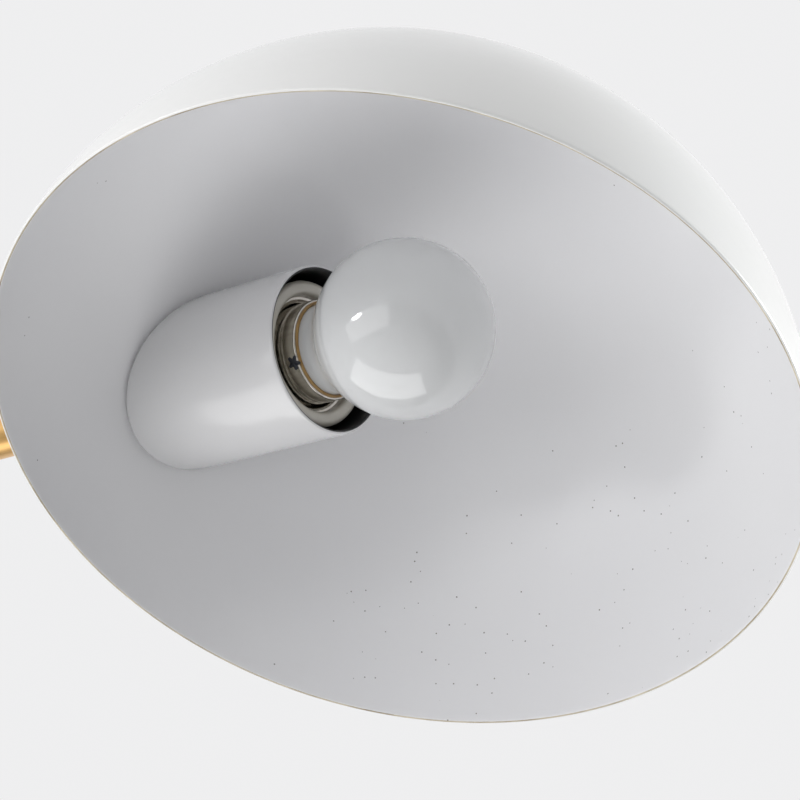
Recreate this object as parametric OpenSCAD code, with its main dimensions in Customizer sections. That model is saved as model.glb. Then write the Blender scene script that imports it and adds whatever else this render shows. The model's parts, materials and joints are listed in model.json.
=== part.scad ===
// Swing arm wall sconce: brass arms on a wall canopy, white dome shade, globe lamp.
// Frame: wall plane at Y = 0, the lamp reaches out along -Y, +Z is up.
// Origin: centre of the mounting bar's screw pattern, on the wall plane.

/* [Wall plate] */
// Outside diameter of the canopy
canopy_d = 120; // [105:1:150]
// Depth of the canopy, wall to front face
canopy_depth = 26; // [24:1:34]
// Sheet thickness of the canopy
canopy_t = 1; // [0.8:0.1:1.5]
// Distance between the wall screw slots
slot_spacing = 88.9; // [86:0.1:92]
// Width of a wall screw slot
slot_w = 5; // [4:0.5:6]
// Length of a wall screw slot, end to end
slot_len = 12; // [9:0.5:13]
// Width of the mounting bar
bar_w = 20; // [18:1:26]
// Thickness of the mounting bar
bar_t = 1.5; // [1.2:0.1:2]
// How far the middle of the bar stands off the wall
bar_rise = 12.5; // [12:0.5:14]
// Distance between the two canopy studs
stud_spacing = 50; // [44:1:54]
// Diameter of a canopy stud
stud_d = 4; // [3:0.5:5]

/* [Arms] */
// Wall to the axis of the wall pivot
wall_offset = 58; // [54:1:80]
// Wall pivot axis to elbow axis
first_arm_len = 200; // [120:1:320]
// Elbow axis to the face of the shade swivel
second_arm_len = 150; // [100:1:320]
// Outside diameter of the arm tubes
tube_d = 12; // [11:0.5:12.5]
// Wall thickness of the arm tubes
tube_t = 1; // [0.8:0.1:1.3]
// Diameter of a pivot barrel
barrel_d = 22; // [21:0.5:28]
// Height of a pivot barrel
barrel_h = 18; // [17.5:0.5:24]
// Half the travel of the wall pivot, in degrees
wall_travel = 90; // [30:1:110]
// Half the travel of the elbow, in degrees
elbow_travel = 130; // [60:1:135]

/* [Shade] */
// Rim diameter of the shade
shade_d = 200; // [170:1:260]
// Height of the shade, rim plane to crown
shade_h = 92; // [84:1:100]
// Sheet thickness of the shade
shade_t = 1; // [0.8:0.1:1.5]
// Lean of the shade's crown towards the wall, in degrees
shade_lean = 8.5; // [4:0.5:12]
// Height of the arm axis above the rim plane, on the shade's own axis
arm_above_rim = 41.3; // [38:0.1:46]

/* [Lampholder and lamp] */
// Outside diameter of the socket cup
cup_d = 44; // [43:0.5:50]
// Depth of the socket cup's mouth in front of the lampholder's seat
cup_depth = 36.7; // [35.7:0.1:46]
// Sheet thickness of the socket cup
cup_t = 1.2; // [0.8:0.1:1.4]
// Outside diameter of the porcelain lampholder
holder_d = 38.2; // [37:0.1:39]
// Diameter of the well in the lampholder's front
well_d = 30.4; // [30:0.1:32]
// How far the lampholder sits back from the cup's mouth
holder_recess = 3.9; // [3:0.1:5]
// Diameter of the lamp's globe
globe_d = 45.7; // [40:0.1:50]
// Overall length of the lamp
lamp_len = 72; // [67:1:78]
// Crest diameter of the lamp's screw base
base_d = 26.2; // [26:0.1:26.5]
// Length of the lamp's base, contact included
base_len = 24; // [23:0.5:26]
// Thickness of the lamp's glass
glass_t = 0.8; // [0.6:0.1:1.2]

/* [Threaded pipe and wires] */
// Outside diameter of the threaded pipe through every pivot
pipe_d = 10; // [9.5:0.1:10]
// Bore of the threaded pipe
pipe_bore = 7; // [6.8:0.1:7.4]
// Width across the flats of the pipe nuts
nut_af = 14; // [13:0.5:14]
// Thickness of the pipe nuts
nut_t = 2.6; // [2.2:0.1:2.8]
// Diameter of an insulated wire
wire_d = 2.4; // [1.8:0.1:2.4]

/* [Clearances] */
// Radial clearance between a turning barrel and its pipe
run_gap = 0.05; // [0.02:0.01:0.1]
// Radial clearance of a screwed or pushed-in fit
seat_gap = 0.05; // [0:0.01:0.1]
// Radial clearance of a screw or pipe through sheet metal
hole_gap = 0.3; // [0.2:0.1:0.5]
// Gap between the two barrels of a pivot
barrel_gap = 0.8; // [0.7:0.1:1.2]

/* [Hidden] */
$fn = 64;
ball_fn = 240;

pipe_r = pipe_d / 2;
tube_r = tube_d / 2;
wire_r = wire_d / 2;
barrel_r = barrel_d / 2;

// Pivots: the parting plane is local z = 0, the fixed barrel is below it.
barrel_floor = 3.2;
spring_t = 0.6;
spring_gap = 0.1;
spring_edge = 0.6;
washer_t = 0.6;
pipe_stick = 0.3;
cap_t = 2;
half_gap = barrel_gap / 2;
barrel_axis = half_gap + barrel_h / 2;
nut_corner_r = nut_af / 2 / cos(30);
nut_room = 0.5;
cavity_r = nut_corner_r + nut_room;
pivot_pipe_top = half_gap + barrel_floor + spring_gap + spring_t + nut_t + pipe_stick;
pivot_pipe_low = half_gap + barrel_floor + nut_t + pipe_stick;
collar_wall = 2;
collar_len = 12;
collar_r = tube_r + seat_gap + collar_wall;
// The tube's end sits a little inside the barrel's outside.
tube_inset = 0.5;
tube_start = barrel_r - tube_inset;
collar_end = tube_start + collar_len;
screw_at = tube_start + collar_len / 2;
grub_r = 1.5;
grub_key_af = 1.5;
stop_r = 1;
stop_ring = cavity_r - 0.4;
stop_up = 1.6;
groove_gap = 0.3;
groove_deep = stop_up + 0.3 - half_gap;
first_arm_z = 2 * barrel_axis;
elbow_y = wall_offset + first_arm_len;

// Wall plate.
bar_middle = stud_spacing / 2 + 6;
bar_foot = slot_spacing / 2 + slot_len / 2 + 6;
bar_front = bar_rise + bar_t;
canopy_edge = 6;
stud_r = stud_d / 2;
stud_back = bar_rise - 1.5;
cap_nut_r = stud_r + 3;
cap_nut_h = 7;
flange_r = 15;
flange_t = 3;
pipe_socket = 12;
wall_pipe_back = bar_rise - nut_t - 1;
lead_y = 5.2;
ground_x = 15;
ground_r = 1.75;
ring_t = 0.6;
ground_y = bar_front + 1.2;
connector_len = 18;
connector_r = 4.6;
lead_end = 30;

// Shade: a spherical cap. The head's axis is the arm axis, and its coordinate s grows
// from the wall towards the room, with s = 0 where the shade's own axis crosses it.
shade_rim_r = shade_d / 2;
shade_r = (shade_rim_r * shade_rim_r + shade_h * shade_h) / (2 * shade_h);
shade_r_in = shade_r - shade_t;
arm_above_centre = arm_above_rim + shade_r - shade_h;
centre_s = arm_above_centre * sin(shade_lean);
centre_drop = arm_above_centre * cos(shade_lean);
// Place on the arm axis of a sphere round the shade's centre, at a height above the axis.
function wall_s(radius, height) =
    centre_s - sqrt(radius * radius - (height + centre_drop) * (height + centre_drop));

collar_seat_r = 10;
collar_least = 3;
swivel_gap = 0.2;
collar_face_s = wall_s(shade_r, -collar_seat_r) - collar_least;
swivel_face_s = collar_face_s - washer_t - swivel_gap;
swivel_floor = 4;
swivel_r = cavity_r + 1.6;
swivel_cavity = 12;
swivel_back_s = swivel_face_s - swivel_floor - swivel_cavity;
plug_depth = 4;
plug_flange = 2;
plug_stop = 2;
tube_end_s = swivel_back_s + plug_depth - plug_stop;
plug_end_s = tube_end_s - collar_len;
// Distance from the wall to s = 0.
head_y = elbow_y + second_arm_len - swivel_face_s;

// Lampholder stack, from the shade's wall to the mouth.
cup_r = cup_d / 2;
face_gap = 0.05;
cup_seat_r = shade_r_in - face_gap;
cup_floor_r = cup_seat_r - cup_t;
wedge_r = 11;
wedge_edge = 0.5;
wedge_face_s = wall_s(cup_floor_r, wedge_r) + wedge_edge;
mouth_s = wedge_face_s + cup_depth;
tooth_t = 0.8;
tooth_ring = 8.4;
bracket_back_s = wedge_face_s + tooth_t + nut_t;
bracket_t = 1.2;
bracket_w = 13;
bracket_len = 28;
holder_back_s = bracket_back_s + bracket_t;
holder_front_s = mouth_s - holder_recess;
holder_r = holder_d / 2;
base_proud = 3.8;
base_front_s = holder_front_s + base_proud;
tip_s = base_front_s - base_len;
globe_r = globe_d / 2;
globe_s = tip_s + lamp_len - globe_r;
contact_t = 0.5;
rivet_r = 1.5;
well_floor_s = tip_s - contact_t - 0.3;
well_r = well_d / 2;
pipe_front_s = bracket_back_s + bracket_t - 0.2;
pipe_back_s = swivel_face_s - swivel_floor - spring_gap - spring_t - nut_t - pipe_stick;
rear_well_r = 10.8;
well_floor_t = 3.4;
rear_floor_s = well_floor_s - well_floor_t;
terminal_x = 8.4;
terminal_r = 1.2;
terminal_head_r = 2.2;
terminal_head_h = 0.8;
terminal_post = 2 * wire_r + 0.3;
bracket_screw_x = 12.4;
bracket_screw_r = 1;
bracket_screw_len = 6;
wire_x = wire_r + 0.25;
wire_drop = 1.4;
bend_r = 3;
wire_split = 0.4;
terminal_wire_s = rear_floor_s - wire_r - 0.2;
neck_r = 11.8;
neck_fillet = 6;
thread_pitch = 3.6;
thread_depth = 0.9;
thread_len = 16;
shell_t = 0.35;
shell_gap = 0.25;
shell_r = base_d / 2 + shell_gap;
insulator_r = 11;
insulator_len = 3;
tip_r = 2;

// ---- helpers ----

module ring(outer, inner, h) {
    difference() {
        cylinder(r = outer, h = h);
        translate([0, 0, -1]) cylinder(r = inner, h = h + 2);
    }
}

module hex_nut() {
    difference() {
        intersection() {
            cylinder(r = nut_corner_r, h = nut_t, $fn = 6);
            translate([0, 0, nut_t / 2])
                sphere(r = nut_corner_r + 0.15);
        }
        translate([0, 0, -1]) cylinder(r = pipe_r + seat_gap, h = nut_t + 2);
    }
}

module pipe(h) {
    ring(pipe_r, pipe_bore / 2, h);
}

// Lays local +Z along the arm axis, towards the room; local +Y becomes up.
module along_arm(y, z = 0) {
    translate([0, -y, z]) rotate([90, 0, 0]) children();
}

module at_head(s) {
    along_arm(head_y + s) children();
}

module at_wall_pivot() {
    translate([0, -wall_offset, barrel_axis]) children();
}

// The elbow is the same pivot upside down.
module at_elbow() {
    translate([0, -elbow_y, barrel_axis]) mirror([0, 0, 1]) children();
}

// Barrel body with eased edges, standing on z = 0.
module barrel_body() {
    ease = 0.8;
    rotate_extrude()
        polygon([
            [0, 0], [barrel_r - ease, 0], [barrel_r, ease],
            [barrel_r, barrel_h - ease], [barrel_r - ease, barrel_h], [0, barrel_h]
        ]);
}

// Cavity for the nut, and the pipe's hole through the floor.
module barrel_cavity(hole_r) {
    translate([0, 0, barrel_floor]) cylinder(r = cavity_r, h = barrel_h);
    translate([0, 0, -1]) cylinder(r = hole_r, h = barrel_h);
}

// Socket for an arm tube, from the barrel's middle along local -Y.
module tube_socket_body() {
    translate([0, 0, barrel_h / 2]) rotate([90, 0, 0]) cylinder(r = collar_r, h = collar_end);
}

module tube_socket_bore() {
    translate([0, 0, barrel_h / 2]) rotate([90, 0, 0]) {
        cylinder(r = tube_r - tube_t, h = collar_end + 1);
        translate([0, 0, tube_start]) cylinder(r = tube_r + seat_gap, h = collar_len + 1);
    }
    translate([0, -screw_at, 0]) cylinder(r = grub_r, h = barrel_h / 2);
}

module stop_groove(travel) {
    side = asin((stop_r + groove_gap) / stop_ring);
    sweep = travel + side;
    translate([0, 0, -1])
        rotate([0, 0, 90 - sweep])
            rotate_extrude(angle = 2 * sweep)
                translate([stop_ring - stop_r - groove_gap, 0])
                    square([2 * (stop_r + groove_gap), groove_deep + 1]);
}

// Barrel that turns on the pipe. Standing on its own floor, z = 0.
module turning_barrel(travel) {
    difference() {
        union() {
            barrel_body();
            tube_socket_body();
        }
        barrel_cavity(pipe_r + run_gap);
        tube_socket_bore();
        stop_groove(travel);
    }
}

// Barrel that holds the pipe and carries a tube.
module fixed_barrel() {
    difference() {
        union() {
            barrel_body();
            tube_socket_body();
        }
        barrel_cavity(pipe_r + seat_gap);
        tube_socket_bore();
        translate([0, 0, -1]) rotate([0, 0, 90])
            translate([-stop_ring, 0, 0]) cylinder(r = stop_r, h = barrel_floor);
    }
}

module fixed_side() {
    translate([0, 0, -half_gap]) mirror([0, 0, 1]) children();
}

module turning_side() {
    translate([0, 0, half_gap]) children();
}

module pivot_pipe() {
    translate([0, 0, -pivot_pipe_low]) pipe(pivot_pipe_low + pivot_pipe_top);
}

module pivot_nuts() {
    translate([0, 0, -half_gap - barrel_floor - nut_t]) hex_nut();
    translate([0, 0, pivot_pipe_top - pipe_stick - nut_t]) hex_nut();
}

module pivot_washer() {
    translate([0, 0, -half_gap])
        ring(stop_ring - stop_r - 0.3, pipe_r + seat_gap, washer_t);
}

module pivot_spring() {
    translate([0, 0, half_gap + barrel_floor + spring_gap])
        ring(cavity_r - spring_edge, pipe_r + seat_gap, spring_t);
}

// Pin at the back of the fixed barrel, reaching into the other barrel's groove.
module stop_pin() {
    translate([0, stop_ring, -half_gap - barrel_floor + 1])
        cylinder(r = stop_r, h = barrel_floor - 1 + stop_up);
}

// Domed cap pressed into the open end of a barrel that stands on z = 0.
module barrel_cap() {
    dome_r = 26;
    lip_r = barrel_r - 0.8;
    lip_drop = sqrt(dome_r * dome_r - lip_r * lip_r);
    translate([0, 0, barrel_h - cap_t]) cylinder(r = cavity_r - seat_gap, h = cap_t);
    translate([0, 0, barrel_h]) intersection() {
        translate([0, 0, 0.6 - lip_drop]) sphere(r = dome_r);
        cylinder(r = lip_r, h = dome_r);
    }
}

module grub_screw() {
    translate([0, -screw_at, barrel_h / 2 - collar_r]) difference() {
        cylinder(r = grub_r - seat_gap, h = collar_r - tube_r);
        translate([0, 0, -1]) cylinder(r = grub_key_af / 2 / cos(30), h = 2, $fn = 6);
    }
}

// Lengths of wire, in the plane of the arms: along them, upright, and a quarter turn whose
// centre is y from the wall. The turn starts at an angle from the room side, by way of up.
module wire_along(y_from, y_to, z) {
    along_arm(y_from, z) cylinder(r = wire_r, h = y_to - y_from);
}

module wire_upright(y, z_from, z_to) {
    translate([0, -y, z_from]) cylinder(r = wire_r, h = z_to - z_from);
}

module wire_bend(y, z, start) {
    translate([0, -y, z]) rotate([90, 0, -90]) rotate([0, 0, start])
        rotate_extrude(angle = 90) translate([bend_r, 0]) circle(r = wire_r);
}

// Profile of the screw base: a round thread form as one ridge per pitch.
function thread_r(crest, z) = crest - thread_depth * (1 - cos(360 * z / thread_pitch)) / 2;

function thread_points(crest) =
    [for (i = [0 : 8 * thread_len / thread_pitch])
        [thread_r(crest, i * thread_pitch / 8), i * thread_pitch / 8]];

module thread_solid(crest) {
    points = thread_points(crest);
    rotate_extrude() polygon(concat([[0, 0]], points, [[0, points[len(points) - 1][1]]]));
}

// ---- wall body ----

module mounting_bar() {
    inner = bar_middle;
    outer = bar_middle + 2;
    color([0.72, 0.72, 0.72]) difference() {
        translate([0, 0, -bar_w / 2]) linear_extrude(bar_w)
            polygon([
                [-inner, -bar_rise], [inner, -bar_rise], [outer, 0], [bar_foot, 0],
                [bar_foot, -bar_t], [outer + bar_t, -bar_t], [inner + bar_t, -bar_front],
                [-inner - bar_t, -bar_front], [-outer - bar_t, -bar_t], [-bar_foot, -bar_t],
                [-bar_foot, 0], [-outer, 0]
            ]);
        for (side = [-1, 1]) {
            translate([side * slot_spacing / 2, 1, 0]) rotate([90, 0, 0]) {
                cube([slot_len - slot_w, slot_w, 2 * (bar_t + 2)], center = true);
                for (end = [-1, 1])
                    translate([end * (slot_len - slot_w) / 2, 0, 0])
                        cylinder(d = slot_w, h = 2 * (bar_t + 2), center = true);
            }
            along_arm(0) translate([side * stud_spacing / 2, 0, bar_rise - 1])
                cylinder(r = stud_r + seat_gap, h = bar_t + 2);
        }
        along_arm(bar_rise - 1) cylinder(r = pipe_r + seat_gap, h = bar_t + 2);
        along_arm(bar_rise - 1) translate([ground_x, 0, 0])
            cylinder(r = ground_r + seat_gap, h = bar_t + 2);
    }
}

// Spun dish, its rim on the wall and its front edge rolled.
module canopy() {
    r = canopy_d / 2;
    color([0.78, 0.58, 0.30]) along_arm(0) difference() {
        rotate_extrude() difference() {
            union() {
                square([r, canopy_depth - canopy_edge]);
                square([r - canopy_edge, canopy_depth]);
                translate([r - canopy_edge, canopy_depth - canopy_edge]) circle(r = canopy_edge);
            }
            square([r - canopy_t, canopy_depth - canopy_edge]);
            square([r - canopy_edge, canopy_depth - canopy_t]);
            translate([r - canopy_edge, canopy_depth - canopy_edge])
                circle(r = canopy_edge - canopy_t);
            translate([-2 * r, -r]) square([2 * r, 4 * r]);
        }
        cylinder(r = pipe_r + hole_gap, h = canopy_depth + 1);
        for (side = [-1, 1])
            translate([side * stud_spacing / 2, 0, 0])
                cylinder(r = stud_r + hole_gap, h = canopy_depth + 1);
    }
}

module canopy_studs() {
    color([0.75, 0.75, 0.75]) for (side = [-1, 1])
        along_arm(stud_back) translate([side * stud_spacing / 2, 0, 0])
            cylinder(r = stud_r, h = canopy_depth - stud_back + 4);
}

module canopy_cap_nuts() {
    color([0.78, 0.58, 0.30]) for (side = [-1, 1])
        along_arm(canopy_depth) translate([side * stud_spacing / 2, 0, 0]) difference() {
            union() {
                cylinder(r = cap_nut_r, h = cap_nut_h - cap_nut_r + 2);
                translate([0, 0, cap_nut_h - cap_nut_r]) intersection() {
                    sphere(r = cap_nut_r);
                    cylinder(r = cap_nut_r, h = cap_nut_r);
                }
            }
            translate([0, 0, -1]) cylinder(r = stud_r + seat_gap, h = 5.5);
        }
}

module wall_pipe() {
    color([0.8, 0.66, 0.36]) along_arm(wall_pipe_back)
        pipe(canopy_depth + pipe_socket - 0.5 - wall_pipe_back);
}

module wall_pipe_nuts() {
    color([0.7, 0.7, 0.7]) {
        along_arm(bar_rise - nut_t) hex_nut();
        along_arm(canopy_depth - canopy_t - nut_t) hex_nut();
    }
}

module ground_screw() {
    color([0.1, 0.5, 0.2]) along_arm(bar_front + ring_t) translate([ground_x, 0, 0]) {
        translate([0, 0, -5]) cylinder(r = ground_r, h = 5);
        difference() {
            intersection() {
                cylinder(r = 3.6, h = 2.2);
                translate([0, 0, -3]) sphere(r = 5.6);
            }
            translate([-4, -0.4, 1.4]) cube([8, 0.8, 2]);
        }
    }
}

// Ring terminal under the green screw, and its wire up to a connector.
module ground_lead() {
    color([0.2, 0.6, 0.25]) {
        along_arm(bar_front) translate([ground_x, 0, 0]) ring(3.5, ground_r + seat_gap, ring_t);
        translate([ground_x - 1.5, -bar_front - ring_t, 3]) cube([3, ring_t, 3]);
        translate([ground_x, -ground_y, 4]) cylinder(r = wire_r, h = lead_end);
    }
}

// Three twist-on connectors: live above, neutral below, ground beside the live one.
module wire_connectors() {
    module connector() {
        difference() {
            cylinder(r1 = connector_r, r2 = connector_r - 1.4, h = connector_len);
            translate([0, 0, -1]) cylinder(r = wire_r + seat_gap, h = connector_len - 2);
        }
    }
    color([0.9, 0.5, 0.15]) {
        translate([wire_x, -lead_y, lead_end - 12]) connector();
        translate([-wire_x, -lead_y, 12 - lead_end]) mirror([0, 0, 1]) connector();
        translate([ground_x, -ground_y, lead_end - 9]) connector();
    }
}

// Flange against the canopy, neck, and the lower barrel of the wall pivot.
module wall_knuckle() {
    neck = wall_offset - canopy_depth;
    color([0.78, 0.58, 0.30]) difference() {
        union() {
            at_wall_pivot() fixed_side() barrel_body();
            along_arm(canopy_depth) cylinder(r = collar_r, h = neck);
            along_arm(canopy_depth) intersection() {
                cylinder(r = flange_r, h = flange_t);
                translate([0, 0, flange_t - 30]) sphere(r = 30);
            }
        }
        at_wall_pivot() fixed_side() barrel_cavity(pipe_r + seat_gap);
        along_arm(canopy_depth - 1) cylinder(r = pipe_r + seat_gap, h = pipe_socket + 1);
        along_arm(canopy_depth) cylinder(r = pipe_bore / 2, h = neck);
        at_wall_pivot() stop_pin();
    }
}

module wall_knuckle_cap() {
    color([0.78, 0.58, 0.30]) at_wall_pivot() fixed_side() barrel_cap();
}

module wall_pivot_pipe() {
    color([0.8, 0.66, 0.36]) at_wall_pivot() pivot_pipe();
}

module wall_pivot_nuts() {
    color([0.7, 0.7, 0.7]) at_wall_pivot() pivot_nuts();
}

module wall_pivot_washer() {
    color([0.9, 0.88, 0.8]) at_wall_pivot() pivot_washer();
}

module wall_pivot_spring() {
    color([0.6, 0.6, 0.62]) at_wall_pivot() pivot_spring();
}

module wall_stop_pin() {
    color([0.6, 0.6, 0.62]) at_wall_pivot() stop_pin();
}

// From the connector, round into the wall pipe, and up the pivot pipe.
module wall_wire(side) {
    run_z = -wire_drop;
    back = lead_y + bend_r;
    translate([side * wire_x, 0, 0]) {
        if (side > 0) wire_upright(lead_y, run_z + bend_r, lead_end);
        else wire_upright(lead_y, -lead_end, run_z - bend_r);
        wire_bend(back, run_z + side * bend_r, side > 0 ? 180 : 90);
        wire_along(back, wall_offset - bend_r, run_z);
        wire_bend(wall_offset - bend_r, run_z + bend_r, 270);
        wire_upright(wall_offset, run_z + bend_r, barrel_axis + pivot_pipe_top);
    }
}

module live_wire_wall() {
    color([0.12, 0.12, 0.12]) wall_wire(1);
}

module neutral_wire_wall() {
    color([0.92, 0.92, 0.9]) wall_wire(-1);
}

// ---- first arm ----

module first_arm_tube() {
    color([0.78, 0.58, 0.30]) along_arm(wall_offset + tube_start, first_arm_z)
        ring(tube_r, tube_r - tube_t, first_arm_len - 2 * tube_start);
}

module first_arm_knuckle() {
    color([0.78, 0.58, 0.30]) at_wall_pivot() turning_side() turning_barrel(wall_travel);
}

module first_knuckle_cap() {
    color([0.78, 0.58, 0.30]) at_wall_pivot() turning_side() barrel_cap();
}

module elbow_upper_knuckle() {
    color([0.78, 0.58, 0.30]) at_elbow() fixed_side() rotate([0, 0, 180]) fixed_barrel();
}

module elbow_upper_cap() {
    color([0.78, 0.58, 0.30]) at_elbow() fixed_side() barrel_cap();
}

module first_arm_set_screws() {
    color([0.2, 0.2, 0.22]) {
        at_wall_pivot() turning_side() grub_screw();
        at_elbow() fixed_side() rotate([0, 0, 180]) grub_screw();
    }
}

module elbow_pivot_pipe() {
    color([0.8, 0.66, 0.36]) at_elbow() pivot_pipe();
}

module elbow_pivot_nuts() {
    color([0.7, 0.7, 0.7]) at_elbow() pivot_nuts();
}

module elbow_pivot_washer() {
    color([0.9, 0.88, 0.8]) at_elbow() pivot_washer();
}

module elbow_pivot_spring() {
    color([0.6, 0.6, 0.62]) at_elbow() pivot_spring();
}

module elbow_stop_pin() {
    color([0.6, 0.6, 0.62]) at_elbow() stop_pin();
}

// From the wall pivot's pipe, along the tube, and down the elbow's pipe.
module first_arm_wire(side) {
    run_z = first_arm_z + wire_drop;
    low_z = run_z - bend_r;
    translate([side * wire_x, 0, 0]) {
        wire_upright(wall_offset, barrel_axis + pivot_pipe_top + wire_split, low_z);
        wire_bend(wall_offset + bend_r, low_z, 90);
        wire_along(wall_offset + bend_r, elbow_y - bend_r, run_z);
        wire_bend(elbow_y - bend_r, low_z, 0);
        wire_upright(elbow_y, barrel_axis - pivot_pipe_top, low_z);
    }
}

module live_wire_first_arm() {
    color([0.12, 0.12, 0.12]) first_arm_wire(1);
}

module neutral_wire_first_arm() {
    color([0.92, 0.92, 0.9]) first_arm_wire(-1);
}

// ---- second arm ----

module elbow_lower_knuckle() {
    color([0.78, 0.58, 0.30]) at_elbow() turning_side() turning_barrel(elbow_travel);
}

module elbow_lower_cap() {
    color([0.78, 0.58, 0.30]) at_elbow() turning_side() barrel_cap();
}

module second_arm_tube() {
    color([0.78, 0.58, 0.30]) along_arm(elbow_y + tube_start)
        ring(tube_r, tube_r - tube_t, head_y + tube_end_s - elbow_y - tube_start);
}

module second_arm_set_screws() {
    color([0.2, 0.2, 0.22]) {
        at_elbow() turning_side() grub_screw();
        at_head(tube_end_s - collar_len / 2) rotate([90, 0, 0]) difference() {
            translate([0, 0, tube_r]) cylinder(r = grub_r - seat_gap, h = collar_r - tube_r);
            translate([0, 0, collar_r - 1])
                cylinder(r = grub_key_af / 2 / cos(30), h = 2, $fn = 6);
        }
    }
}

// Turned cup that holds the pipe's nut; its floor bears on the shade's washer.
module swivel_housing() {
    ease = 0.8;
    h = swivel_face_s - swivel_back_s;
    color([0.78, 0.58, 0.30]) at_head(swivel_back_s) difference() {
        rotate_extrude()
            polygon([[0, 0], [swivel_r, 0], [swivel_r, h - ease], [swivel_r - ease, h], [0, h]]);
        translate([0, 0, -1]) cylinder(r = cavity_r, h = swivel_cavity + 1);
        cylinder(r = pipe_r + run_gap, h = h + 1);
    }
}

// Screwed into the housing's open end, and bored for the arm tube.
module swivel_plug() {
    flange_s = swivel_back_s - plug_flange;
    color([0.78, 0.58, 0.30]) difference() {
        union() {
            at_head(swivel_back_s) cylinder(r = cavity_r - seat_gap, h = plug_depth);
            at_head(flange_s) cylinder(r = swivel_r, h = plug_flange);
            at_head(plug_end_s) cylinder(r = collar_r, h = flange_s - plug_end_s);
        }
        at_head(plug_end_s - 1) cylinder(r = tube_r + seat_gap, h = collar_len + 1);
        at_head(plug_end_s) cylinder(r = tube_r - tube_t, h = 2 * collar_len);
        at_head(tube_end_s - collar_len / 2) rotate([90, 0, 0]) cylinder(r = grub_r, h = collar_r);
    }
}

module second_arm_wire(side) {
    run_z = -wire_drop;
    high_z = run_z + bend_r;
    translate([side * wire_x, 0, 0]) {
        wire_upright(elbow_y, high_z, barrel_axis - pivot_pipe_top - wire_split);
        wire_bend(elbow_y + bend_r, high_z, 180);
        wire_along(elbow_y + bend_r, head_y + pipe_back_s - wire_split, run_z);
    }
}

module live_wire_second_arm() {
    color([0.12, 0.12, 0.12]) second_arm_wire(1);
}

module neutral_wire_second_arm() {
    color([0.92, 0.92, 0.9]) second_arm_wire(-1);
}

// ---- shade body ----

module at_shade_centre() {
    translate([0, -head_y - centre_s, -centre_drop]) rotate([-shade_lean, 0, 0]) children();
}

module shade_pipe() {
    color([0.8, 0.66, 0.36]) at_head(pipe_back_s) pipe(pipe_front_s - pipe_back_s);
}

module shade_pipe_nuts() {
    color([0.7, 0.7, 0.7]) {
        at_head(pipe_back_s + pipe_stick) hex_nut();
        at_head(wedge_face_s + tooth_t) hex_nut();
    }
}

module swivel_washer() {
    color([0.9, 0.88, 0.8]) at_head(collar_face_s - washer_t)
        ring(collar_seat_r - 0.4, pipe_r + seat_gap, washer_t);
}

module swivel_spring() {
    color([0.6, 0.6, 0.62]) at_head(swivel_face_s - swivel_floor - spring_gap - spring_t)
        ring(cavity_r - spring_edge, pipe_r + seat_gap, spring_t);
}

// Collar whose far end is cut to the shade's outside.
module shade_collar() {
    color([0.78, 0.58, 0.30]) difference() {
        at_head(collar_face_s) cylinder(r = collar_seat_r, h = shade_r / 4);
        at_head(collar_face_s - 1) cylinder(r = pipe_r + seat_gap, h = shade_r / 2);
        at_shade_centre() sphere(r = shade_r + face_gap, $fn = ball_fn);
    }
}

module shade() {
    color([0.96, 0.96, 0.96]) difference() {
        at_shade_centre() difference() {
            sphere(r = shade_r, $fn = ball_fn);
            sphere(r = shade_r_in, $fn = ball_fn);
            translate([-2 * shade_r, -2 * shade_r, shade_r - shade_h - 3 * shade_r])
                cube([4 * shade_r, 4 * shade_r, 3 * shade_r]);
        }
        at_head(collar_face_s) cylinder(r = pipe_r + hole_gap, h = shade_r / 2);
    }
}

// Drawn cup, its closed end dished to lie on the inside of the shade.
module socket_cup() {
    color([0.97, 0.97, 0.97]) difference() {
        intersection() {
            at_head(mouth_s - shade_r) cylinder(r = cup_r, h = shade_r);
            at_shade_centre() sphere(r = cup_seat_r, $fn = ball_fn);
        }
        intersection() {
            at_head(mouth_s - shade_r) cylinder(r = cup_r - cup_t, h = shade_r + 1);
            at_shade_centre() sphere(r = cup_floor_r, $fn = ball_fn);
        }
        at_head(collar_face_s) cylinder(r = pipe_r + hole_gap, h = shade_r / 2);
    }
}

// Cast washer: dished to the cup's end on one side, square to the arm on the other.
module wedge_washer() {
    color([0.7, 0.7, 0.7]) difference() {
        intersection() {
            at_head(wedge_face_s - shade_r / 3) cylinder(r = wedge_r, h = shade_r / 3);
            at_shade_centre() sphere(r = cup_floor_r - face_gap, $fn = ball_fn);
        }
        at_head(wedge_face_s - shade_r / 2) cylinder(r = pipe_r + seat_gap, h = shade_r);
    }
}

module tooth_washer() {
    color([0.6, 0.6, 0.62]) at_head(wedge_face_s) difference() {
        ring(tooth_ring, pipe_r + seat_gap, tooth_t);
        for (i = [0 : 11])
            rotate([0, 0, 30 * i]) translate([tooth_ring, 0, tooth_t / 2])
                cube([2, 1.4, 2 * tooth_t], center = true);
    }
}

module holder_bracket() {
    color([0.75, 0.75, 0.75]) at_head(bracket_back_s) difference() {
        intersection() {
            translate([-bracket_len / 2, -bracket_w / 2, 0])
                cube([bracket_len, bracket_w, bracket_t]);
            cylinder(r = bracket_len / 2, h = bracket_t);
        }
        translate([0, 0, -1]) cylinder(r = pipe_r + seat_gap, h = bracket_t + 2);
        for (side = [-1, 1])
            translate([side * bracket_screw_x, 0, -1])
                cylinder(r = bracket_screw_r + 0.2, h = bracket_t + 2);
    }
}

module bracket_screws() {
    color([0.75, 0.75, 0.75]) for (side = [-1, 1])
        at_head(bracket_back_s) translate([side * bracket_screw_x, 0, 0]) {
            cylinder(r = bracket_screw_r, h = bracket_t + bracket_screw_len);
            translate([0, 0, -1]) cylinder(r = 1.9, h = 1);
        }
}

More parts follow.
